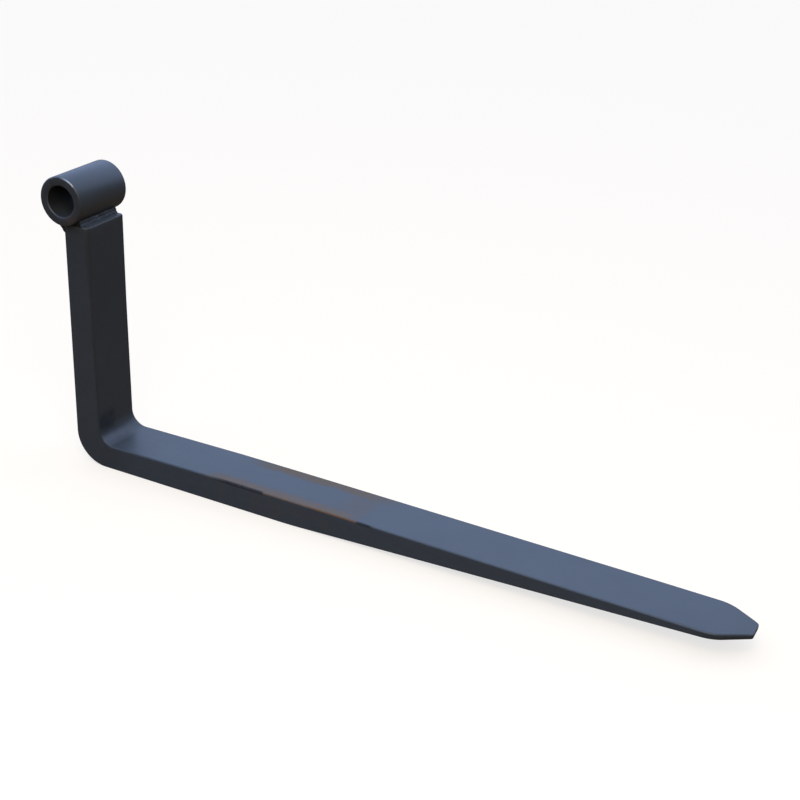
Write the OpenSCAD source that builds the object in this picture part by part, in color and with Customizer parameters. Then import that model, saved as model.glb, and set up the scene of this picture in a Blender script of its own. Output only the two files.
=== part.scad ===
// Hanging pallet fork: a forged L-shaped bar with a welded eye tube.
// +X runs along the blade to its tip, +Y along the eye, +Z up the shank.
// The origin is the centre of the eye's bore. Lengths are in millimetres.

/* [Bar] */
// Width of the forged bar
bar_w = 101.6; // [60:0.1:160]
// Thickness of the shank at its top
shank_top_t = 50; // [36:0.5:70]
// Thickness of the shank at the inside corner of the heel
shank_root_t = 52.5; // [36:0.5:80]
// Height above the blade's underside where the shank starts to thicken
root_rise = 300; // [180:5:340]
// Radius along the rolled edges of the bar
edge_r = 3; // [1:0.5:6]

/* [Heel] */
// Radius of the fillet inside the heel
heel_in_r = 30; // [15:1:60]
// Radius round the outside of the heel
heel_out_r = 62; // [30:1:100]
// Thickness of the blade at the inside corner of the heel
heel_floor_t = 47; // [34:0.5:70]

/* [Blade] */
// Length of the blade, from the shank's front face to the tip
blade_len = 1220; // [900:10:1800]
// Distance from the shank's front face to the thickest part of the blade
crown_run = 250; // [150:5:340]
// Thickness of the blade at its thickest part
crown_t = 50; // [36:0.5:75]
// Distance from the shank's front face to where the underside begins to rise
taper_run = 410; // [380:5:700]
// Thickness of the blade where the underside begins to rise
taper_t = 49.5; // [36:0.5:75]
// Radius that blends the flat underside into the rising one
taper_blend_r = 1000; // [400:50:2400]

/* [Tip] */
// Height of the blade's top above the underside's plane, at the tip
tip_top_h = 44; // [30:0.5:70]
// Thickness of the blade at the tip
tip_t = 9; // [4:0.5:14]
// Width of the flat end of the tip
tip_w = 34; // [20:1:50]
// Length over which the sides come in to the tip
tip_run = 54; // [30:1:120]
// Radius that blends each side into its run to the tip
shoulder_r = 65; // [20:1:90]
// Radius on the two corners of the tip
tip_corner_r = 6; // [2:0.5:10]
// Length of the slope that breaks the top edge of the tip
nose_len = 6; // [2:0.5:12]
// Fall of that slope
nose_fall = 1.6; // [0.5:0.1:3]

/* [Eye] */
// Height of the eye's centre above the blade's underside
eye_height = 508; // [380:1:760]
// Distance of the eye's centre in front of the shank's back face
eye_ahead = 6; // [0:0.5:24]
// Outside diameter of the eye tube
eye_od = 88; // [76:1:120]
// Diameter of the eye's bore
eye_bore = 56; // [30:0.5:64]
// Length by which the tube stands out past each side of the bar
eye_overhang = 12.7; // [0:0.1:30]
// Chamfer round the tube's outside edges
eye_edge = 2; // [0.5:0.5:4]
// Chamfer round the mouths of the bore
bore_edge = 2.5; // [0.5:0.5:4]

/* [Welds] */
// Gap between the tube and the shank's flat top, filled by the welds
root_gap = 3; // [1:0.5:6]
// Bare land on the shank's top, in front of the front weld
front_land = 12; // [5:0.5:16]
// How far round the tube the front weld reaches, in degrees from straight down
front_reach = 38; // [30:1:50]
// How far round the tube the rear weld reaches, in degrees from straight down
rear_reach = 34; // [26:1:45]
// How far the rear weld runs down the shank's back
rear_leg = 14; // [6:1:30]
// Crown of each weld's face above a straight line
weld_crown = 0.6; // [0.3:0.1:2]
// How far each weld stops short of the bar's sides
weld_inset = 1; // [0:0.5:5]

/* [Hidden] */

eye_r = eye_od / 2;
eye_len = bar_w + 2 * eye_overhang;
back_x = -eye_ahead;
base_z = -eye_height;
top_z = -eye_r - root_gap;
front_top_x = back_x + shank_top_t;
front_root_x = back_x + shank_root_t;
root_z = base_z + root_rise;
crown_x = front_root_x + crown_run;
taper_x = front_root_x + taper_run;
tip_x = front_root_x + blade_len;
tip_top_z = base_z + tip_top_h;
tip_low_z = tip_top_z - tip_t;
weld_len = bar_w - 2 * weld_inset;

corner_steps = 4;   // faces round each rolled edge
heel_steps = 14;    // sections round the heel
blend_steps = 6;    // sections through each other blend
weld_steps = 6;     // faces across a weld's crown
least_step = 0.05;  // sections closer than this are one

paint = [0.19, 0.21, 0.25];
weld_paint = [0.21, 0.22, 0.25];

function unit(v) = v / norm(v);
function short_turn(a) = a > 180 ? a - 360 : a < -180 ? a + 360 : a;

// Points of the arc of radius r that rounds the corner c between a and b
function fillet(a, c, b, r, steps) =
    let (u = unit(a - c), v = unit(b - c),
         half = acos(u * v) / 2,
         centre = c + unit(u + v) * r / sin(half),
         first = c + u * r / tan(half) - centre,
         last = c + v * r / tan(half) - centre,
         start = atan2(first[1], first[0]),
         turn = short_turn(atan2(last[1], last[0]) - start))
    [for (i = [0:steps])
        let (angle = start + turn * i / steps)
        centre + r * [cos(angle), sin(angle)]];

// Points of an arc from a to b that stands proud of its chord on the left
function crowned(a, b, rise, steps) =
    let (chord = b - a, side = unit([-chord[1], chord[0]]))
    [for (i = [0:steps])
        let (t = i / steps)
        a + chord * t + side * rise * 4 * t * (1 - t)];

function sorted(v) =
    len(v) < 2 ? v :
    let (pivot = v[floor(len(v) / 2)])
    concat(sorted([for (n = v) if (n < pivot) n]),
           [for (n = v) if (n == pivot) n],
           sorted([for (n = v) if (n > pivot) n]));

function spaced(v) =
    [for (i = [0:len(v) - 1]) if (i == 0 || v[i] - v[i - 1] > least_step) v[i]];

// Side view of the bar, as [x, z]: inside and outside of the heel
heel_in = fillet([front_top_x, root_z], [front_root_x, base_z + heel_floor_t],
                 [crown_x, base_z + crown_t], heel_in_r, heel_steps);
heel_out = fillet([back_x, top_z], [back_x, base_z],
                  [taper_x, base_z], heel_out_r, heel_steps);

// Side view of the blade, as [x, z]: its top and its underside
blade_top = [
    heel_in[heel_steps],
    [crown_x, base_z + crown_t],
    [taper_x, base_z + taper_t],
    [tip_x - nose_len, tip_top_z],
    [tip_x, tip_top_z - nose_fall]
];
taper_blend = fillet([front_root_x, base_z], [taper_x, base_z],
                     [tip_x, tip_low_z], taper_blend_r, blend_steps);
blade_low = concat([heel_out[heel_steps]], taper_blend, [[tip_x, tip_low_z]]);

// Top view of the blade, as [x, half width]: shoulders and tip corners
shoulder = fillet([front_root_x, bar_w / 2], [tip_x - tip_run, bar_w / 2],
                  [tip_x, tip_w / 2], shoulder_r, blend_steps);
tip_corner = fillet([tip_x - tip_run, bar_w / 2], [tip_x, tip_w / 2],
                    [tip_x, 0], tip_corner_r, blend_steps);
blade_side = concat([[back_x, bar_w / 2]], shoulder, tip_corner);

// Places along the blade where a section is needed
blade_x = spaced(sorted(concat(
    [crown_x, tip_x - nose_len, tip_x],
    [for (p = taper_blend) p[0]],
    [for (p = shoulder) p[0]],
    [for (p = tip_corner) if (p[0] < tip_x - least_step) p[0]])));

// One section of the bar, from a on its inside to b on its outside
function section(a, b, half_w) =
    let (t = norm(b - a), across = (b - a) / t,
         r = min(edge_r, 0.45 * t, 0.45 * half_w))
    [for (corner = [0:3], i = [0:corner_steps])
        let (angle = 90 * (corner + i / corner_steps),
             s = (corner == 0 || corner == 3 ? t - r : r) + r * cos(angle),
             y = (corner < 2 ? half_w - r : r - half_w) + r * sin(angle))
        [a[0] + across[0] * s, y, a[1] + across[1] * s]];

// The shank's top: its front edge is rounded, its back edge is left square
top_sections = [for (i = [corner_steps:-1:1])
    let (angle = 90 * i / corner_steps,
         z = top_z - edge_r * (1 - sin(angle)),
         x = front_top_x - edge_r * (1 - cos(angle)))
    section([x, z], [back_x, z], bar_w / 2)];
root_section = [section([front_top_x, root_z], [back_x, root_z], bar_w / 2)];
heel_sections = [for (i = [0:heel_steps])
    section(heel_in[i], heel_out[i], bar_w / 2)];
blade_sections = [for (x = blade_x)
    section([x, lookup(x, blade_top)], [x, lookup(x, blade_low)],
            lookup(x, blade_side))];

// Skin over a row of sections that all have as many points
module loft(sections) {
    rows = len(sections);
    n = len(sections[0]);
    sides = [for (j = [0:rows - 2], i = [0:n - 1])
        let (k = (i + 1) % n)
        [j * n + i, j * n + k, (j + 1) * n + k, (j + 1) * n + i]];
    first_end = [for (i = [n - 1:-1:0]) i];
    last_end = [for (i = [0:n - 1]) (rows - 1) * n + i];
    polyhedron([for (s = sections) each s], concat([first_end], sides, [last_end]),
               convexity = 6);
}

// Shank, heel and blade, forged from one bar
module fork_bar() {
    color(paint)
        loft(concat(top_sections, root_section, heel_sections, blade_sections));
}

// Thick-walled tube that hangs on the carriage shaft
module eye_tube() {
    half = eye_len / 2;
    bore_r = eye_bore / 2;
    color(paint)
        rotate([90, 0, 0])
            rotate_extrude($fn = 96)
                polygon([
                    [bore_r + bore_edge, -half],
                    [eye_r - eye_edge, -half],
                    [eye_r, eye_edge - half],
                    [eye_r, half - eye_edge],
                    [eye_r - eye_edge, half],
                    [bore_r + bore_edge, half],
                    [bore_r, half - bore_edge],
                    [bore_r, bore_edge - half]
                ]);
}

// A weld run along the bar's width, with its seat on the tube cut out
module weld_run(outline) {
    color(weld_paint)
        rotate([90, 0, 0])
            linear_extrude(weld_len, center = true)
                difference() {
                    polygon(outline);
                    circle(eye_r, $fn = 96);
                }
}

// The weld in front, from the shank's top up to the tube
module front_weld() {
    toe = [front_top_x - front_land, top_z];
    touch = eye_r * [sin(front_reach), -cos(front_reach)];
    weld_run(concat([[0, top_z]],
                    crowned(toe, touch, -weld_crown, weld_steps),
                    [touch * 0.9, [0, -0.9 * eye_r]]));
}

// The weld behind, from the shank's back up to the tube's underside
module rear_weld() {
    toe = [back_x, top_z - rear_leg];
    touch = eye_r * [-sin(rear_reach), -cos(rear_reach)];
    weld_run(concat([[0, top_z], [back_x, top_z]],
                    crowned(toe, touch, weld_crown, weld_steps),
                    [touch * 0.9, [0, -0.9 * eye_r]]));
}

fork_bar();
eye_tube();
front_weld();
rear_weld();
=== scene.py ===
import bpy, bmesh, math
from mathutils import Matrix, Vector, noise


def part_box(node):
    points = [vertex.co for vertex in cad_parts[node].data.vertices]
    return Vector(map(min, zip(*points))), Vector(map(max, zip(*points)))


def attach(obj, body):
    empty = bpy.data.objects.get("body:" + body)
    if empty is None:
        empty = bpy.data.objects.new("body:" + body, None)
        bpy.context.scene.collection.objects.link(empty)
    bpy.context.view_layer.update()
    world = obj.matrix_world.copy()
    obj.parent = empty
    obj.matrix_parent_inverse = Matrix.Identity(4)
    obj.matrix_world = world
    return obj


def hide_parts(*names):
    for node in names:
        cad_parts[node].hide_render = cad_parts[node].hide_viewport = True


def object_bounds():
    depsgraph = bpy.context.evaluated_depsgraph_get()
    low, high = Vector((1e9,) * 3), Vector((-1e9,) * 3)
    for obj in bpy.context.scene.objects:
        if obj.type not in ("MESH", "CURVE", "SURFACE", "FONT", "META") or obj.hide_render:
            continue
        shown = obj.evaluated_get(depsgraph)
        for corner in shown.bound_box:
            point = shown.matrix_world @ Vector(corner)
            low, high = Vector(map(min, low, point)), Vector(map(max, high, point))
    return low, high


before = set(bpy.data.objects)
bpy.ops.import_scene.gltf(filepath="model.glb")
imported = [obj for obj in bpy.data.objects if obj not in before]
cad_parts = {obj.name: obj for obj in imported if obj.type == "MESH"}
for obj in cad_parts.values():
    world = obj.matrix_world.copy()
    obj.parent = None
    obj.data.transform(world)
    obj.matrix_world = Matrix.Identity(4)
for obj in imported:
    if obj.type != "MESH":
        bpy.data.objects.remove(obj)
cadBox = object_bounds()
mm = 0.001
barLow, barHigh = (Vector(corner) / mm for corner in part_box("fork_bar"))
tubeLow, tubeHigh = (Vector(corner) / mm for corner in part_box("eye_tube"))


def linear(hexText):  # sRGB hex to the linear colour that Blender mixes with
    channels = [int(hexText[i:i + 2], 16) / 255 for i in (1, 3, 5)]
    return tuple(c / 12.92 if c <= 0.04045 else ((c + 0.055) / 1.055) ** 2.4
                 for c in channels) + (1.0,)


def addNode(tree, kind, settings=None, **inputs):
    # each input is a value or a socket to link from; a name like in3 is input number 3
    node = tree.nodes.new(kind)
    for name, value in (settings or {}).items():
        setattr(node, name, value)
    for name, value in inputs.items():
        numbered = name[:2] == "in" and name[2:].isdigit()
        socket = node.inputs[int(name[2:]) if numbered else name.replace("_", " ")]
        if isinstance(value, bpy.types.NodeSocket):
            tree.links.new(value, socket)
        else:
            socket.default_value = value
    return node


def newMaterial(name):
    material = bpy.data.materials.new(name)
    material.use_nodes = True
    material.node_tree.nodes.clear()
    return material, material.node_tree


def meshObject(bm, name, sharpAngle):
    bmesh.ops.recalc_face_normals(bm, faces=bm.faces)
    mesh = bpy.data.meshes.new(name)
    bm.to_mesh(mesh)
    bm.free()
    mesh.shade_smooth()
    mesh.set_sharp_from_angle(angle=math.radians(sharpAngle))
    piece = bpy.data.objects.new(name, mesh)
    bpy.context.scene.collection.objects.link(piece)
    return piece


def fillet(a, corner, b, radius, steps):  # points of the arc that rounds a corner
    u, v = (a - corner).normalized(), (b - corner).normalized()
    half = u.angle(v) / 2
    centre = corner + (u + v).normalized() * radius / math.sin(half)
    first = corner + u * radius / math.tan(half) - centre
    last = corner + v * radius / math.tan(half) - centre
    turn = first.angle_signed(last)
    return [centre + Matrix.Rotation(-turn * i / steps, 2) @ first for i in range(steps + 1)]


def valueAt(outline, x):  # height of an outline at x
    least = 1e-9  # keeps a step of no length from dividing by nothing
    for (x0, v0), (x1, v1) in zip(outline, outline[1:]):
        if x <= x1:
            return v0 + (v1 - v0) * max(0.0, x - x0) / max(x1 - x0, least)
    return outline[-1][1]


def loftRings(rings):
    # one ring of edges is extruded from place to place, then both ends are closed
    bm = bmesh.new()
    place = bm.verts.layers.int.new("place")
    first = [bm.verts.new(p) for p in rings[0]]
    for i, v in enumerate(first):
        v[place] = i
    edges = [bm.edges.new((first[i - 1], first[i])) for i in range(len(first))]
    start = list(edges)
    for ring in rings[1:]:
        grown = bmesh.ops.extrude_edge_only(bm, edges=edges)["geom"]
        fresh = {g for g in grown if isinstance(g, bmesh.types.BMVert)}
        for v in fresh:
            v.co = ring[v[place]]
        edges = [g for g in grown
                 if isinstance(g, bmesh.types.BMEdge) and fresh.issuperset(g.verts)]
    for rim in (start, edges):
        bmesh.ops.contextual_create(bm, geom=rim)
    return bm


# the fork is forged from one rolled bar: sizes in millimetres, as in the part's source
bar = {
    "edge": 3.0, "edgeLimit": 0.45,  # the limit is a share of the bar's thickness
    "shankThick": 50, "rootThick": 52.5, "rootRise": 300,
    "heelFloor": 47, "inRadius": 30, "outRadius": 62,
    "crownRun": 250, "crownThick": 50, "taperRun": 410, "taperThick": 49.5,
    "tipTop": 44, "tipThick": 9, "noseLength": 6, "noseFall": 1.6, "bellyRadius": 1000,
    "tipRun": 54, "shoulder": 65, "tipCorner": 6,
    "tipHalf": 18.8,  # the tip's flat end is a little wider than in the part's source
    # steps round each bend, and faces across the wide flats and the deep ones, whose
    # first and last points lie this share of the flat away from its ends
    "edgeSteps": 4, "heelSteps": 28, "bellySteps": 8, "shoulderSteps": 10, "cornerSteps": 8,
    "wideFaces": 18, "wideInset": 0.015, "deepFaces": 4, "deepInset": 0.04,
    # distance between sections, and where the tip has extra ones: before its shoulders, before
    # its corners, back from its end, and no closer together than the last value
    "spacing": 12, "shoulderGap": 4, "cornerGap": 6, "endGaps": (3.2, 0.8, 0.0), "leastGap": 0.02,
    # the shank's top is dressed up close to the tube, and towards it, over this run,
    # the near front corner is ground rounder
    "topLift": 2.2, "groundCorner": 10.0, "groundRun": 130,
    # the top edges are worn rounder over this run to the tip
    "wornEdge": 4.5, "wornRun": 180,
    # depth of the long hammer marks and the short roll marks, and how many fit in a metre
    "wave": 0.25, "wavesPerMetre": 14, "ripple": 0.05, "ripplesPerMetre": 60,
    "rippleShift": (3, 5, 7),
    # the marks spare the shank's top over this run, and fade on faces less flat than this
    "plainTop": 20, "flatness": 0.96,
    # single hollows in the heel as x, y, z, spread and depth
    "hollows": ((53, -42, -448, 18, 1.4), (53, -20, -449, 20, 1.6), (56, 4, -453, 18, 1.0),
                (58, 26, -455, 16, 0.6), (84, -20, -461, 16, 0.2), (104, 18, -460, 22, 0.3)),
    "sharp": 40,  # edges that turn more than this many degrees stay crisp
}


def flatPoints(faces, inset):  # shares of a flat's length, with one close to each end
    return (inset, *(i / faces for i in range(1, faces)), 1 - inset)


def barRing(inside, outside, half):
    # one section of the bar: flats with points close to their ends, and rolled corners
    depth = (outside - inside).length
    across = (outside - inside) / depth
    limit = bar["edgeLimit"] * depth
    plain = min(bar["edge"], limit, bar["edgeLimit"] * half)
    ground = max(0, 1 - (barHigh.z - inside.y) / bar["groundRun"])
    worn = max(0, 1 - (barHigh.x - inside.x) / bar["wornRun"])
    top = min(plain + (bar["wornEdge"] - plain) * worn, limit)
    # the radius that ends each side, in the order of the sides below
    corners = (plain, top, top + (bar["groundCorner"] - plain) * ground, plain)
    wideFlat = flatPoints(bar["wideFaces"], bar["wideInset"])
    deepFlat = flatPoints(bar["deepFaces"], bar["deepInset"])
    bends = [math.pi / 2 * i / bar["edgeSteps"] for i in range(bar["edgeSteps"] + 1)]
    ring = []
    for side in range(4):  # outside, far side, inside, near side
        wide = side % 2 == 0
        reach, level = (half, depth / 2) if wide else (depth / 2, half)
        begin, finish, r = corners[side - 1] - reach, reach - corners[side], corners[side]
        points = [(begin + (finish - begin) * k, level) for k in (wideFlat if wide else deepFlat)]
        points += [(finish + r * math.sin(t), level - r + r * math.cos(t)) for t in bends]
        for p, q in points:
            s, y = ((q, p), (-p, q), (-q, -p), (p, -q))[side]
            middle = (inside + outside) / 2 + across * s
            ring.append(Vector((middle.x, y, middle.y)) * mm)
    return ring


def forgeBar():
    back, floor, half = barLow.x, barLow.z, barHigh.y
    top = barHigh.z + bar["topLift"]
    front, root = back + bar["shankThick"], back + bar["rootThick"]
    knee = Vector((front, floor + bar["rootRise"]))
    crown = Vector((root + bar["crownRun"], floor + bar["crownThick"]))
    taper = Vector((root + bar["taperRun"], floor + bar["taperThick"]))
    tip = Vector((barHigh.x, floor + bar["tipTop"]))
    nose = tip - Vector((bar["noseLength"], 0))
    heelIn = fillet(knee, Vector((root, floor + bar["heelFloor"])), crown,
                    bar["inRadius"], bar["heelSteps"])
    heelOut = fillet(Vector((back, top)), Vector((back, floor)), Vector((taper.x, floor)),
                     bar["outRadius"], bar["heelSteps"])
    lip = tip - Vector((0, bar["tipThick"]))
    belly = fillet(Vector((back, floor)), Vector((taper.x, floor)), lip,
                   bar["bellyRadius"], bar["bellySteps"])
    over = [heelIn[-1], crown, taper, nose, tip - Vector((0, bar["noseFall"]))]
    under = [heelOut[-1]] + belly + [lip]
    turnIn = Vector((tip.x - bar["tipRun"], half))
    point = Vector((tip.x, bar["tipHalf"]))
    shoulder = fillet(Vector((0, half)), turnIn, point, bar["shoulder"], bar["shoulderSteps"])
    corner = fillet(turnIn, point, Vector((tip.x, 0)), bar["tipCorner"], bar["cornerSteps"])
    plan = [(0, half)] + shoulder + corner

    sections = []
    for i in range(bar["edgeSteps"], 0, -1):  # the rolled front edge of the shank's top
        t = math.pi / 2 * i / bar["edgeSteps"]
        z = top - bar["edge"] * (1 - math.sin(t))
        x = front - bar["edge"] * (1 - math.cos(t))
        sections.append((Vector((x, z)), Vector((back, z)), half))
    start = top - bar["edge"]
    count = round((start - heelIn[0].y) / bar["spacing"])
    for i in range(count):  # down the shank, thickening below the knee
        z = start + (heelIn[0].y - start) * i / count
        low = start + (heelOut[0].y - start) * i / count
        x = front + (heelIn[0].x - front) * max(0, knee.y - z) / (knee.y - heelIn[0].y)
        sections.append((Vector((x, z)), Vector((back, min(z, low))), half))
    sections += [(a, b, half) for a, b in zip(heelIn, heelOut)]
    straight = shoulder[0].x - bar["shoulderGap"] - heelIn[-1].x
    count = math.ceil(straight / bar["spacing"])
    along = [heelIn[-1].x + bar["spacing"] * i for i in range(1, count)]
    along += [p.x for p in shoulder] + [corner[0].x - bar["cornerGap"]]
    along += [p.x for p in corner if p.x < tip.x - bar["leastGap"]]
    along += [tip.x - gap for gap in bar["endGaps"]]
    for x in sorted(set(along)):
        sections.append((Vector((x, valueAt(over, x))), Vector((x, valueAt(under, x))),
                         valueAt(plan, x)))
    bm = loftRings([barRing(a, b, width) for a, b, width in sections])

    # the marks are pressed in, so no point stands proud of the drawn size
    bmesh.ops.recalc_face_normals(bm, faces=bm.faces)
    bm.normal_update()
    marked = [v for v in bm.verts if v.co.z <= (top - bar["plainTop"]) * mm]
    for v in marked:
        long = 0.5 + 0.5 * noise.noise(v.co * bar["wavesPerMetre"])
        short = 0.5 + 0.5 * noise.noise(v.co * bar["ripplesPerMetre"] + Vector(bar["rippleShift"]))
        flat = max(0, max(abs(c) for c in v.normal) - bar["flatness"]) / (1 - bar["flatness"])
        depth = (bar["wave"] * long + bar["ripple"] * short) * flat
        for x, y, z, spread, hollow in bar["hollows"]:
            away = (v.co / mm - Vector((x, y, z))).length / spread
            depth += hollow * max(0, 1 - away ** 2) ** 2
        v.co -= v.normal * depth * mm
    return meshObject(bm, "forgedBar", bar["sharp"])


# the eye is turned from thick-walled tube; its skin is a hair inside the drawn size
tube = {
    "skin": 0.03, "bore": 28, "outerChamfer": 2.0, "boreChamfer": 1.8,  # bore is its radius
    "soften": 0.3, "softenSteps": 2, "steps": 160, "merge": 0.001, "sharp": 50,
    "endTilt": 0.9, "chamferTilt": 0.45,  # a face that tilts more is on an end or a chamfer
}


def turnTube():
    bm = bmesh.new()
    r, h = tubeHigh.z - tube["skin"], tubeHigh.y - tube["skin"]
    b, c, k = tube["bore"], tube["outerChamfer"], tube["boreChamfer"]
    wall = [(r, c - h), (r, h - c), (r - c, h), (b + k, h), (b, h - k), (b, k - h), (b + k, -h),
            (r - c, -h)]
    verts = [bm.verts.new((x * mm, y * mm, 0)) for x, y in wall]
    for i, v in enumerate(verts):
        bm.edges.new((verts[i - 1], v))
    bmesh.ops.bevel(bm, geom=verts, offset=tube["soften"] * mm, offset_type="OFFSET",
                    segments=tube["softenSteps"], profile=0.5, affect="VERTICES", material=-1)
    bmesh.ops.spin(bm, geom=bm.verts[:] + bm.edges[:], cent=(0, 0, 0), axis=(0, 1, 0),
                   dvec=(0, 0, 0), angle=math.tau, steps=tube["steps"], use_merge=True,
                   use_duplicate=False)
    bmesh.ops.remove_doubles(bm, verts=bm.verts, dist=tube["merge"] * mm)
    return meshObject(bm, "turnedTube", tube["sharp"])


# each weld is two or three passes, given as the creases between them in side view,
# x and z in millimetres, anticlockwise from the first; root is the buried side, heart the
# point that the ends are drawn in towards, and stray how far each crease wanders
frontWeld = {
    "creases": ((31.8, -45.0), (28.8, -40.4), (26.9, -34.8)), "bulge": (0.4, 0.6),
    "root": ((24.5, -33.6), (14, -39.6), (0.2, -42.0), (0.2, -47.2)), "heart": (12, -43.5),
    "stray": (1.8, 1.4, 0.0), "flare": 1.8, "pitch": 3.4, "ripple": 0.25, "seed": 1.0,
}
rearWeld = {
    "creases": ((-24.6, -36.5), (-17.8, -45.3), (-11.4, -53.4), (-5.8, -60.8)),
    "bulge": (0.9, 0.9, 0.8),
    "root": ((-5.6, -47.4), (-0.2, -47.2), (-0.2, -42.0), (-13, -40.2), (-22.5, -34.6)),
    "heart": (-4, -45), "stray": (0.0, 0.5, 0.5, 0.8), "flare": 0.0, "pitch": 3.8, "ripple": 0.3,
    "seed": 5.0,
}
# what both welds share: the run's half length, the points along it and across each pass, and
# how its ends are drawn in
weldRun = {
    "half": 49.7, "stations": 200, "perPass": 9, "roundOver": 2.0, "drawIn": 0.03,
    # where the weld starts to grow fatter, and the run over which it gains its flare
    "flareFrom": 30, "flareRun": 20,
    # each way that a pass is uneven, as its size, its turns per millimetre, and the step and
    # start that give every pass its own row of the noise
    "wander": (1.0, 0.055, 9.0, 0), "quiver": (0.5, 0.17, 9.0, 0), "drift": (0.6, 0.08, 7.0, 0),
    "swell": (0.35, 0.06, 3.0, 11),
    # how far the middle of a ripple runs ahead, and how full a pass and its ripples are
    "lead": 2.2, "fullness": 0.7, "rippleFullness": 0.5, "sharp": 60,
}


def uneven(kind, weld, n, y):  # how uneven pass n is at y
    size, turns, step, start = weldRun[kind]
    return size * noise.noise(Vector((y * turns, n * step + start, weld["seed"])))


def layWeld(name, weld):
    rings = []
    heart = Vector(weld["heart"])
    for j in range(weldRun["stations"] + 1):
        y = weldRun["half"] * math.sin(math.pi * (j / weldRun["stations"] - 0.5))
        end = max(0.0, 1 - (weldRun["half"] - abs(y)) / weldRun["roundOver"])
        drawn = 1 - weldRun["drawIn"] * (1 - math.sqrt(1 - end ** 2))
        flare = weld["flare"] * max(0.0, (y - weldRun["flareFrom"]) / weldRun["flareRun"]) ** 2
        creases = []
        for n, (corner, stray) in enumerate(zip(weld["creases"], weld["stray"])):
            shift = uneven("wander", weld, n, y) + uneven("quiver", weld, n, y)
            creases.append(Vector(corner) + Vector((stray * shift + flare, 0)))
        face = []
        for n, (a, b) in enumerate(zip(creases, creases[1:])):
            out = Vector((b.y - a.y, a.x - b.x)).normalized()
            drift, swell = uneven("drift", weld, n, y), uneven("swell", weld, n, y)
            for i in range(weldRun["perPass"]):
                u = i / weldRun["perPass"]
                bow = 4 * u * (1 - u)
                turn = (y + weldRun["lead"] * bow) / weld["pitch"] + drift
                scallop = abs(math.sin(math.pi * turn))
                rise = (weld["bulge"][n] + swell) * bow ** weldRun["fullness"]
                rise += weld["ripple"] * (scallop - 1) * bow ** weldRun["rippleFullness"]
                face.append(a.lerp(b, u) + out * rise)
        face.append(creases[-1])
        ring = [heart + (p - heart) * drawn for p in face]
        ring += [Vector(p) for p in weld["root"]]
        rings.append([Vector((p.x, y, p.y)) * mm for p in ring])
    return meshObject(loftRings(rings), name, weldRun["sharp"])


def between(tree, value, limits):
    # 1 between the two middle limits, in millimetres, easing to 0 at the outer ones
    start, full, fall, end = (limit * mm for limit in limits)
    ease = {"interpolation_type": "SMOOTHSTEP"}
    rise = addNode(tree, "ShaderNodeMapRange", ease, Value=value, From_Min=start, From_Max=full)
    drop = addNode(tree, "ShaderNodeMapRange", ease, Value=value, From_Min=end, From_Max=fall)
    return addNode(tree, "ShaderNodeMath", {"operation": "MULTIPLY"},
                   in0=rise.outputs[0], in1=drop.outputs[0]).outputs[0]


# grain sizes of the enamel's patterns and heights of its relief, in millimetres, the spans of
# noise that its tone, gloss and worn grains spread over, and how far the gloss varies
enamel = {
    "cloud": 90, "speck": 6, "peel": 2.5, "peelHeight": 0.2, "scale": 25, "scaleHeight": 0.6,
    "toneSpan": (0.36, 0.64), "glossSpan": (0.3, 0.7), "grainSpan": (0.36, 0.6),
    "glossDrift": 0.04,
}


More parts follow.
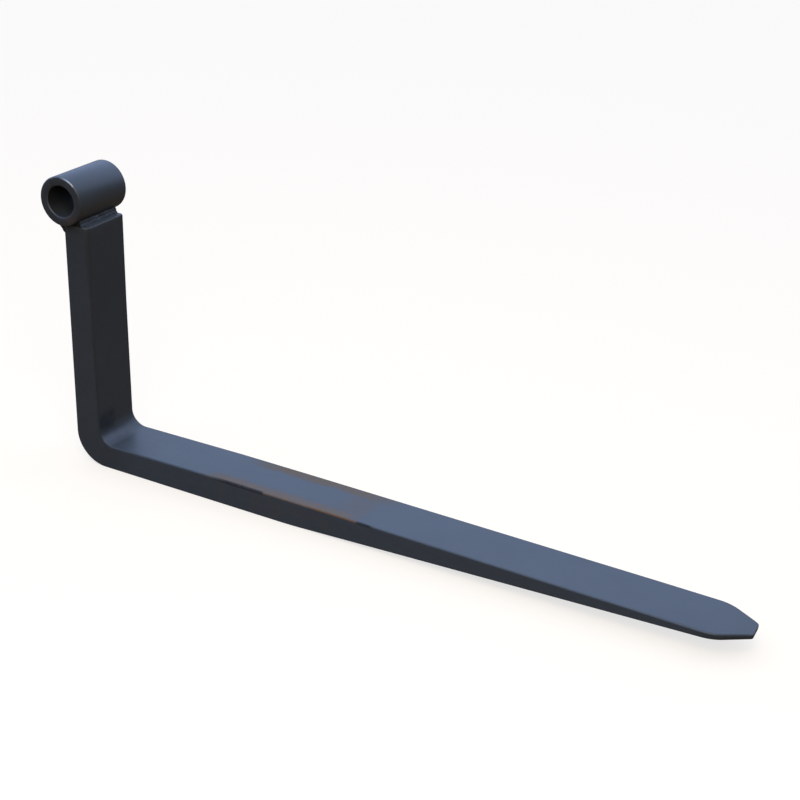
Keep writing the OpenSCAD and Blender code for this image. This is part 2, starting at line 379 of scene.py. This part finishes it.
def steelEnamel(name, look):
    # blue-black machine enamel, sprayed over forged steel that keeps its scale: a semi-gloss
    # coat with a faint orange peel, that mirrors the sky softly and is near black at the sides
    material, tree = newMaterial(name)
    coords = addNode(tree, "ShaderNodeTexCoord").outputs["Object"]
    cloud = addNode(tree, "ShaderNodeTexNoise", Vector=coords, Scale=1 / (enamel["cloud"] * mm),
                    Detail=4.0, Roughness=0.55).outputs[0]
    speck = addNode(tree, "ShaderNodeTexNoise", Vector=coords, Scale=1 / (enamel["speck"] * mm),
                    Detail=3.0, Roughness=0.6).outputs[0]
    mottle = addNode(tree, "ShaderNodeMix", in0=0.5, in2=cloud, in3=speck).outputs[0]
    low, high = enamel["toneSpan"]
    tone = addNode(tree, "ShaderNodeMapRange", Value=mottle, From_Min=low,
                   From_Max=high).outputs[0]
    colour = addNode(tree, "ShaderNodeMix", {"data_type": "RGBA"}, in0=tone,
                     in6=linear(look["dark"]), in7=linear(look["light"])).outputs[2]
    low, high = enamel["glossSpan"]
    gloss = addNode(tree, "ShaderNodeMapRange", Value=speck, From_Min=low, From_Max=high,
                    To_Min=look["rough"] - enamel["glossDrift"],
                    To_Max=look["rough"] + enamel["glossDrift"]).outputs[0]
    bare = 0.0

    low, high = enamel["grainSpan"]
    for mark in look["marks"]:
        # a patch of wear, rust, painted light or painted shade: its limits wander by the stray, and
        # its body breaks into grains
        wander = addNode(tree, "ShaderNodeTexNoise", Vector=coords, Scale=1 / (mark["wander"] * mm),
                         Detail=3.0).outputs["Color"]
        centred = addNode(tree, "ShaderNodeVectorMath", {"operation": "SUBTRACT"}, in0=wander,
                          in1=(0.5, 0.5, 0.5)).outputs[0]
        pushed = addNode(tree, "ShaderNodeVectorMath", {"operation": "MULTIPLY_ADD"}, in0=centred,
                         in1=(mark["stray"] * mm, mark["stray"] * mm, 0), in2=coords).outputs[0]
        places = addNode(tree, "ShaderNodeSeparateXYZ", Vector=pushed).outputs
        grain = addNode(tree, "ShaderNodeTexNoise", Vector=coords, Scale=1 / (mark["grain"] * mm),
                        Detail=4.0, Roughness=0.6).outputs[0]
        mask = addNode(tree, "ShaderNodeMapRange", Value=grain, From_Min=low, From_Max=high,
                       To_Min=mark["thin"] * mark["strength"], To_Max=mark["strength"]).outputs[0]
        for axis, place in zip("xyz", places):
            if axis in mark:
                within = between(tree, place, mark[axis])
                mask = addNode(tree, "ShaderNodeMath", {"operation": "MULTIPLY"}, in0=mask,
                               in1=within).outputs[0]
        colour = addNode(tree, "ShaderNodeMix", {"data_type": "RGBA"}, in0=mask, in6=colour,
                         in7=linear(mark["colour"])).outputs[2]
        gloss = addNode(tree, "ShaderNodeMix", in0=mask, in2=gloss, in3=mark["rough"]).outputs[0]
        if mark.get("bare"):  # the mask turns the paint to steel, as in the corner's painted highlight
            bare = mask

    peel = addNode(tree, "ShaderNodeTexNoise", Vector=coords, Scale=1 / (enamel["peel"] * mm),
                   Detail=2.0).outputs[0]
    bump = addNode(tree, "ShaderNodeBump", Strength=look["peel"],
                   Distance=enamel["peelHeight"] * mm, Height=peel).outputs[0]
    scale = addNode(tree, "ShaderNodeTexNoise", Vector=coords, Scale=1 / (enamel["scale"] * mm),
                    Detail=3.0, Roughness=0.5).outputs[0]
    bump = addNode(tree, "ShaderNodeBump", Strength=look["scaleMarks"],
                   Distance=enamel["scaleHeight"] * mm, Height=scale, Normal=bump).outputs[0]
    shader = addNode(tree, "ShaderNodeBsdfPrincipled", Base_Color=colour, Roughness=gloss,
                     Normal=bump, Metallic=bare, IOR=1.5)
    addNode(tree, "ShaderNodeOutputMaterial", Surface=shader.outputs[0])
    return material


# wear, rust, painted light and painted shade on the bar, with lengths in millimetres: x, y and z
# hold a patch's start, full, fall and end, stray is how far its limits wander, wander the length
# of each swing, grain the size of its grains and thin the share of its strength that stays between
# them
barWearAndPaintedLight = [
    # the near side of the blade is lighter with painted light off the floor, and browner where the
    # edges are rusty
    {"x": (60, 130, 1160, 1210), "y": (-53, -52, -50.3, -49.4), "stray": 0, "wander": 30,
     "grain": 16, "thin": 0.7, "strength": 0.7, "colour": "#4a4f54", "rough": 0.45},
    {"x": (250, 330, 520, 680), "y": (-53, -52, -50.3, -49.4), "z": (-506, -496, -474, -462),
     "stray": 24, "wander": 40, "grain": 12, "thin": 0.0, "strength": 0.6, "colour": "#4f4a44",
     "rough": 0.55},
    # tan dust of rust along the near edge, and browner on the far edge
    {"x": (262, 325, 560, 594), "y": (-60, -55, -42, -24), "z": (-462, -460.4, -455, -450),
     "stray": 16, "wander": 26, "grain": 9, "thin": 0.45, "strength": 0.75,
     "colour": "#765c42", "rough": 0.9},
    {"x": (305, 380, 540, 650), "y": (22, 36, 55, 60), "z": (-463, -461, -455, -450),
     "stray": 12, "wander": 22, "grain": 9, "thin": 0.4, "strength": 0.8,
     "colour": "#6e5638", "rough": 0.9},
    # a faint scuff across the blade
    {"x": (515, 560, 591, 597), "y": (-46, -26, 26, 42), "z": (-463, -461, -455, -450),
     "stray": 8, "wander": 18, "grain": 10, "thin": 0.25, "strength": 0.32,
     "colour": "#6a5640", "rough": 0.85},
    # rust along the near rolled edge, deepest where it stops short
    {"x": (326, 336, 589, 593), "y": (-60, -55, -49, -46.5), "z": (-463, -461.5, -455, -450),
     "stray": 3, "wander": 14, "grain": 6, "thin": 0.3, "strength": 0.45,
     "colour": "#6e5a48", "rough": 0.85},
    {"x": (480, 515, 588, 592), "y": (-60, -55, -49.5, -47.5), "z": (-463, -461.5, -455, -450),
     "stray": 2, "wander": 14, "grain": 6, "thin": 0.5, "strength": 0.8,
     "colour": "#6e4c2e", "rough": 0.9},
    # the near edge is dark before the rust and where it stops
    {"x": (285, 325, 398, 404), "y": (-53, -52, -48.2, -46.4), "z": (-464, -463, -455, -450),
     "stray": 1, "wander": 20, "grain": 8, "thin": 0.85, "strength": 0.9, "colour": "#1e2123",
     "rough": 0.85},
    {"x": (586, 592, 612, 624), "y": (-53, -52, -48.6, -47.2), "z": (-464, -463, -455, -450),
     "stray": 1, "wander": 20, "grain": 8, "thin": 0.85, "strength": 0.9, "colour": "#1e2123",
     "rough": 0.85},
    # the paint is dulled towards the tip's end
    {"x": (1180, 1245, 1280, 1290), "z": (-468, -466, -460, -455), "stray": 14, "wander": 24,
     "grain": 8, "thin": 0.3, "strength": 0.4, "colour": "#3e403c", "rough": 0.5},
    # painted light: the land in front of the weld, ground flat, is lighter, as where light falls on
    # it past the tube
    {"z": (-46.4, -45.4, -40, -30), "stray": 0, "wander": 10, "grain": 7, "thin": 0.8,
     "strength": 0.8, "colour": "#525558", "rough": 0.5},
    # its rolled front edge is dull and a little brown
    {"x": (39, 40.5, 60, 70), "z": (-50, -48.6, -46, -45), "stray": 0, "wander": 10, "grain": 7,
     "thin": 0.8, "strength": 0.75, "colour": "#35322d", "rough": 0.6},
    # painted shade: the shank is darker towards its top, where less light comes up from the floor
    {"z": (-340, -130, -52, -49), "stray": 0, "wander": 30, "grain": 30, "thin": 0.8,
     "strength": 0.3, "colour": "#292b2e", "rough": 0.45},
    # painted shade over the front of the heel, and a faint painted reflection of the shank on the
    # heel's floor
    {"x": (40, 44, 54, 60), "y": (-48, -43, -14, 4), "z": (-446, -434, -414, -396),
     "stray": 12, "wander": 18, "grain": 14, "thin": 0.5, "strength": 0.75,
     "colour": "#26282b", "rough": 0.45},
    {"x": (60, 68, 84, 96), "y": (-16, -8, 8, 16), "z": (-463, -462, -440, -430),
     "stray": 14, "wander": 16, "grain": 8, "thin": 0.2, "strength": 0.12,
     "colour": "#2a2c30", "rough": 0.6},
]
# thin rust low on the tube's ends and under it
endMarks = [
    {"x": (2, 12, 30, 42), "z": (-50, -44, -24, -14), "stray": 10, "wander": 16, "grain": 6,
     "thin": 0.4, "strength": 0.55, "colour": "#4c3528", "rough": 0.6},
]
tubeMarks = [
    {"x": (22, 30, 50, 55), "z": (-44, -34, -14, -2), "stray": 8, "wander": 20, "grain": 8,
     "thin": 0.4, "strength": 0.4, "colour": "#564a3c", "rough": 0.6},
]
# partly a painted highlight: the turned corner is pale bare steel above, laid and shaped where the
# small softbox glints, so the steel mirrors it there
cornerSteelAndHighlight = [
    {"x": (-3, 18, 26, 32), "z": (24, 31, 50, 60), "stray": 2, "wander": 12, "grain": 5,
     "thin": 0.8, "strength": 0.8, "colour": "#acaca8", "rough": 0.36, "bare": True},
]
# painted light makes the bore's mouth brighter above, and painted shade, a little brown, makes it
# duller below
mouthPaintedLightAndShade = [
    {"x": (-20, 0, 30, 40), "z": (4, 12, 40, 50), "stray": 3, "wander": 10, "grain": 5,
     "thin": 0.7, "strength": 0.8, "colour": "#6c7073", "rough": 0.45},
    {"x": (-14, -4, 20, 28), "z": (-40, -34, -24, -14), "stray": 3, "wander": 10, "grain": 5,
     "thin": 0.7, "strength": 0.85, "colour": "#2b2825", "rough": 0.55},
]
# painted light: the bore is lighter along its bottom, where light comes in by the near mouth
borePaintedLight = [
    {"z": (-40, -29, -25, -8), "stray": 4, "wander": 20, "grain": 8, "thin": 0.7,
     "strength": 0.8, "colour": "#2e3031", "rough": 0.8},
]
# painted shade: the lower passes are darker and duller along their crease with the land, and the
# near ends are darkened where the tube overhangs them
weldPaintedShade = [
    {"z": (-50, -49, -42, -40.2), "stray": 0, "wander": 8, "grain": 4, "thin": 0.7,
     "strength": 0.9, "colour": "#26282b", "rough": 0.55},
    {"y": (-60, -55, -49.2, -47), "stray": 1, "wander": 12, "grain": 6, "thin": 0.8,
     "strength": 0.9, "colour": "#1c1917", "rough": 0.6},
]
enamelLooks = {
    "forgedEnamel": {"dark": "#3d4043", "light": "#434649", "rough": 0.42, "peel": 0.25,
                     "scaleMarks": 0.2, "marks": barWearAndPaintedLight},
    "tubeEnamel": {"dark": "#3c3f42", "light": "#424548", "rough": 0.42, "peel": 0.25,
                   "scaleMarks": 0.1, "marks": tubeMarks},
    "endEnamel": {"dark": "#303234", "light": "#3b3c3e", "rough": 0.45, "peel": 0.3,
                  "scaleMarks": 0.2, "marks": endMarks},
    "cornerEnamel": {"dark": "#3a3d40", "light": "#404346", "rough": 0.42, "peel": 0.1,
                     "scaleMarks": 0.0, "marks": cornerSteelAndHighlight},
    "mouthEnamel": {"dark": "#44474a", "light": "#4a4d50", "rough": 0.45, "peel": 0.1,
                    "scaleMarks": 0.0, "marks": mouthPaintedLightAndShade},
    "boreEnamel": {"dark": "#111213", "light": "#18191a", "rough": 0.8, "peel": 0.2,
                   "scaleMarks": 0.1, "marks": borePaintedLight},
    "weldEnamel": {"dark": "#3d4043", "light": "#434649", "rough": 0.42, "peel": 0.2,
                   "scaleMarks": 0.1, "marks": weldPaintedShade},
}

print("modelling the forged bar")
forged = forgeBar()
print("turning the eye tube")
turned = turnTube()
print("laying the welds")
frontBead = layWeld("frontBead", frontWeld)
rearBead = layWeld("rearBead", rearWeld)

print("painting")
finishes = {name: steelEnamel(name, look) for name, look in enamelLooks.items()}
for piece, finish, node, slot in ((forged, "forgedEnamel", "fork_bar", "bar_paint"),
                                  (turned, "tubeEnamel", "eye_tube", "tube_paint"),
                                  (frontBead, "weldEnamel", "front_weld", "weld_paint"),
                                  (rearBead, "weldEnamel", "rear_weld", "weld_paint")):
    piece.data.materials.append(finishes[finish])
    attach(piece, "root")
    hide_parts(node)
turnedFinishes = ("tubeEnamel", "endEnamel", "cornerEnamel", "mouthEnamel", "boreEnamel")
for finish in turnedFinishes[1:]:
    turned.data.materials.append(finishes[finish])
for face in turned.data.polygons:
    radius = math.hypot(face.center.x, face.center.z) / mm
    outer = radius > tubeHigh.z - tube["outerChamfer"] - tube["soften"]
    finish = "tubeEnamel" if outer else "boreEnamel"
    if abs(face.normal.y) > tube["endTilt"]:
        finish = "endEnamel"
    elif abs(face.normal.y) > tube["chamferTilt"]:
        finish = "cornerEnamel" if outer else "mouthEnamel"
    face.material_index = turnedFinishes.index(finish)

# the floor and the backdrop are white to the eye; on the fork they throw only the dim
# light that its sides have, and its paint mirrors a share of the white
studio = {
    "floorSize": 40, "floorSharp": 30, "floorPale": (0.38, 0.28, 0.18), "floorGlow": 0.715,
    "floorDim": (0.10, 0.06, 0.025), "mirrored": 0.06,
    "overhead": (0.875, 1.18, 1.86), "haze": (0.4, 0.42, 0.42), "around": (0.01, 0.01, 0.01),
    # where the overhead light comes from, how squarely the sky faces it where that light
    # begins and is full, and the heights over which it rises out of the haze
    "overheadFrom": (-0.689, 0.493, 0.531), "edges": (0.053, 0.152), "rise": (0.0, 0.2),
    # a large softbox beside the camera, and a small one that glints on the eye
    "lamps": (
        {"name": "fillSoftbox", "size": 1.4, "watts": 27.0, "colour": (1.0, 0.97, 0.89),
         "from": (0.5, -0.6, 0.62), "away": 2.6},
        {"name": "glintSoftbox", "size": 0.4, "watts": 2.0, "colour": (1.0, 0.98, 0.95),
         "from": (0.02, -0.575, 0.82), "away": 2.2},
    ),
}


def layFloor():
    bm = bmesh.new()
    bmesh.ops.create_grid(bm, x_segments=1, y_segments=1, size=studio["floorSize"] / 2)
    bmesh.ops.translate(bm, verts=bm.verts, vec=(0, 0, cadBox[0][2]))
    floor = meshObject(bm, "floor", studio["floorSharp"])
    material, tree = newMaterial("paleFloor")
    ray = addNode(tree, "ShaderNodeLightPath").outputs
    mirrored = addNode(tree, "ShaderNodeMath", {"operation": "MULTIPLY"},
                       in0=ray["Is Glossy Ray"], in1=studio["mirrored"]).outputs[0]
    seen = addNode(tree, "ShaderNodeMath", {"operation": "MAXIMUM"}, in0=ray["Is Camera Ray"],
                   in1=ray["Is Transmission Ray"]).outputs[0]
    seen = addNode(tree, "ShaderNodeMath", {"operation": "MAXIMUM"}, in0=seen,
                   in1=mirrored).outputs[0]
    glow = addNode(tree, "ShaderNodeEmission", Strength=studio["floorGlow"]).outputs[0]
    matt = addNode(tree, "ShaderNodeBsdfDiffuse", Color=studio["floorPale"] + (1,)).outputs[0]
    pale = addNode(tree, "ShaderNodeAddShader", in0=glow, in1=matt).outputs[0]
    dim = addNode(tree, "ShaderNodeBsdfDiffuse", Color=studio["floorDim"] + (1,)).outputs[0]
    mixed = addNode(tree, "ShaderNodeMixShader", in0=seen, in1=dim, in2=pale).outputs[0]
    addNode(tree, "ShaderNodeOutputMaterial", Surface=mixed)
    floor.data.materials.append(material)


def lightDome():
    # a cool sky over the back and the far side, grey low down, and a faint fill all around
    world = bpy.data.worlds.new("softDome")
    world.use_nodes = True
    tree = world.node_tree
    tree.nodes.clear()
    ease = {"interpolation_type": "SMOOTHSTEP"}
    towards = addNode(tree, "ShaderNodeTexCoord").outputs["Generated"]
    facing = addNode(tree, "ShaderNodeVectorMath", {"operation": "DOT_PRODUCT"}, in0=towards,
                     in1=Vector(studio["overheadFrom"]).normalized()).outputs["Value"]
    low, high = studio["edges"]
    level = addNode(tree, "ShaderNodeMapRange", ease, Value=facing, From_Min=low,
                    From_Max=high).outputs[0]
    height = addNode(tree, "ShaderNodeSeparateXYZ", Vector=towards).outputs[2]
    low, high = studio["rise"]
    clear = addNode(tree, "ShaderNodeMapRange", ease, Value=height, From_Min=low,
                    From_Max=high).outputs[0]
    sky = addNode(tree, "ShaderNodeMix", {"data_type": "RGBA"}, in0=clear,
                  in6=studio["haze"] + (1,), in7=studio["overhead"] + (1,)).outputs[2]
    glow = addNode(tree, "ShaderNodeMix", {"data_type": "RGBA"}, in0=level,
                   in6=studio["around"] + (1,), in7=sky).outputs[2]
    soft = addNode(tree, "ShaderNodeBackground", Color=glow).outputs[0]
    white = addNode(tree, "ShaderNodeBackground", Color=(1, 1, 1, 1)).outputs[0]
    ray = addNode(tree, "ShaderNodeLightPath").outputs["Is Camera Ray"]
    mixed = addNode(tree, "ShaderNodeMixShader", in0=ray, in1=soft, in2=white).outputs[0]
    addNode(tree, "ShaderNodeOutputWorld", Surface=mixed)
    bpy.context.scene.world = world


def hangLamps():
    for softbox in studio["lamps"]:
        lamp = bpy.data.lights.new(softbox["name"], "AREA")
        lamp.shape = "SQUARE"
        lamp.size = softbox["size"]
        lamp.energy = softbox["watts"]
        lamp.color = softbox["colour"]
        hung = bpy.data.objects.new(softbox["name"], lamp)
        direction = Vector(softbox["from"]).normalized()
        hung.location = direction * softbox["away"]
        hung.rotation_euler = direction.to_track_quat("Z", "Y").to_euler()
        bpy.context.scene.collection.objects.link(hung)


view = {"lens": 64.474, "sensor": 36, "place": (1.5830, -1.8972, 0.7927),
        "turn": (64.062, -2.351, 27.656)}


def placeCamera():
    lens = bpy.data.cameras.new("camera")
    lens.lens = view["lens"]
    lens.sensor_width = view["sensor"]
    camera = bpy.data.objects.new("camera", lens)
    camera.location = view["place"]
    camera.rotation_euler = tuple(math.radians(angle) for angle in view["turn"])
    bpy.context.scene.collection.objects.link(camera)
    bpy.context.scene.camera = camera


print("lighting")
layFloor()
lightDome()
hangLamps()
placeCamera()
bpy.context.scene.view_settings.view_transform = "Standard"
